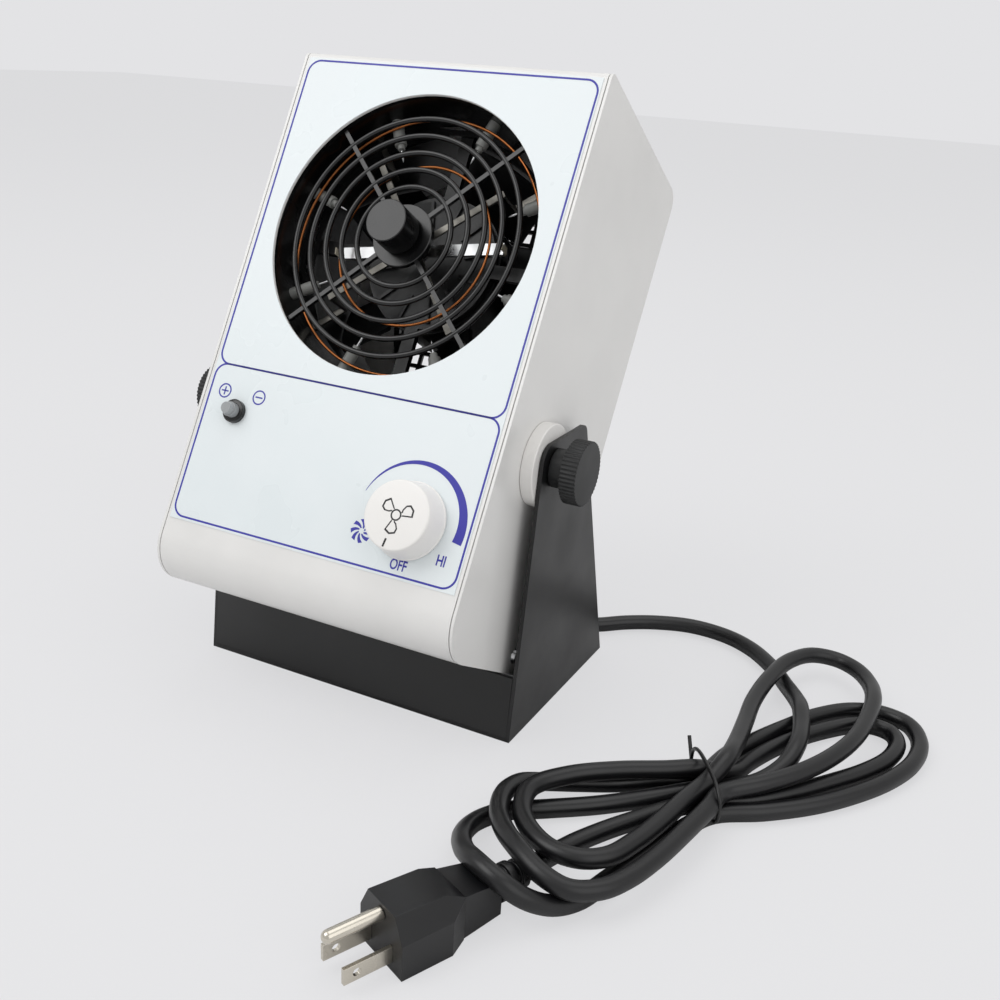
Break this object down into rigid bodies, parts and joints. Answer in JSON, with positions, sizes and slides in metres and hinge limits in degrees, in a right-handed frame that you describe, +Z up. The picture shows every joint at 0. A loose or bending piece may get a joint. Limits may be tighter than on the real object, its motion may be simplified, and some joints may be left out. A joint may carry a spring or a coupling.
{
  "type": "ionizing blower",
  "caption": "Desktop ionizing blower: fan and emitter needles in a tilting white housing, clamped in a bent black steel stand by two thumb knobs, with mains cord and plug.",
  "frame": {"origin": "middle of the underside of the stand's base plate, on the table", "axes": "+Z up, front towards -Y, +X right seen from the front, housing leaned back 30 degrees about an axis along X"},
  "size_m": [0.3366, 0.3146, 0.265],
  "materials": {
    "black_steel": "satin black powder coat",
    "white_paint": "semi-gloss white paint",
    "overlay_film": "printed film with a soft sheen",
    "black_plastic": "moulded black",
    "black_gloss": "moulded gloss black",
    "plated_steel": "zinc plated",
    "brush_fibre": "nylon bristle",
    "nickel": "nickel plated",
    "copper": "bare copper",
    "grey_nylon": "moulded grey nylon",
    "fan_aluminium": "dark painted die casting",
    "white_plastic": "moulded white",
    "component_plastic": "component plastic",
    "lamp_plastic": "clear grey lens, unlit",
    "board_laminate": "green laminate",
    "potting": "potted black box",
    "knob_plastic": "moulded dark grey",
    "cord_pvc": "black flexible vinyl",
    "tie_plastic": "black coated tie"
  },
  "bodies": {
    "stand": {"stand_bracket": "black_steel", "cord_lead": "cord_pvc", "cord_hank": "cord_pvc", "cord_tail": "cord_pvc", "cord_tie": "tie_plastic", "plug_relief": "cord_pvc", "plug_body": "cord_pvc", "plug_blades": "nickel", "plug_ground_pin": "nickel"},
    "housing": {"front_cover": "white_paint", "rear_shell": "white_paint", "front_overlay": "overlay_film", "front_guard": "black_plastic", "air_duct": "black_gloss", "electrode_cross": "nickel", "inner_copper_ring": "copper", "outer_copper_ring": "copper", "needle_holders": "grey_nylon", "emitter_needles": "plated_steel", "fan_frame": "fan_aluminium", "fan_bearings": "plated_steel", "fan_stator": "copper", "fan_studs": "plated_steel", "fan_spacers": "plated_steel", "fan_nuts": "plated_steel", "rear_guard": "black_plastic", "rear_guard_screws": "plated_steel", "pot_body": "component_plastic", "pot_nut": "plated_steel", "lamp_bezel": "black_gloss", "lamp_lens": "lamp_plastic", "lamp_nut": "black_plastic", "control_board": "board_laminate", "board_parts": "component_plastic", "board_standoffs": "plated_steel", "board_screws": "plated_steel", "hv_module": "potting", "hv_screws": "plated_steel", "side_screws": "plated_steel", "pivot_nuts": "plated_steel", "left_spacer": "white_plastic", "right_spacer": "white_plastic", "cord_bushing": "cord_pvc"},
    "fan_rotor": {"fan_impeller": "black_plastic", "rotor_cup": "plated_steel", "fan_shaft": "plated_steel"},
    "cleaner": {"cleaner_knob": "black_gloss", "cleaner_arm": "plated_steel", "cleaner_brush": "brush_fibre"},
    "speed_dial": {"speed_knob": "white_plastic", "pot_shaft": "plated_steel"},
    "left_clamp": {"left_thumb_knob": "knob_plastic", "left_clamp_screw": "plated_steel"},
    "right_clamp": {"right_thumb_knob": "knob_plastic", "right_clamp_screw": "plated_steel"}
  },
  "joints": [
    {"name": "tilt", "type": "hinge", "parent": "stand", "child": "housing", "pos_m": [0, -0.024, 0.11753], "axis": [1, 0, 0], "range_deg": [0, 120]},
    {"name": "fan_spin", "type": "hinge", "parent": "housing", "child": "fan_rotor", "pos_m": [0, -0.01724, 0.20023], "axis": [0, -0.866, 0.5], "continuous": true},
    {"name": "cleaner_turn", "type": "hinge", "parent": "housing", "child": "cleaner", "pos_m": [0, -0.01724, 0.20023], "axis": [0, -0.866, 0.5], "continuous": true},
    {"name": "speed_turn", "type": "hinge", "parent": "housing", "child": "speed_dial", "pos_m": [0.0425, -0.07409, 0.10177], "axis": [0, 0.866, -0.5], "range_deg": [0, 300]},
    {"name": "left_clamp_turn", "type": "hinge", "parent": "housing", "child": "left_clamp", "pos_m": [-0.0725, -0.024, 0.11753], "axis": [-1, 0, 0], "range_deg": [0, 720]},
    {"name": "right_clamp_turn", "type": "hinge", "parent": "housing", "child": "right_clamp", "pos_m": [0.0725, -0.024, 0.11753], "axis": [1, 0, 0], "range_deg": [0, 720]}
  ]
}
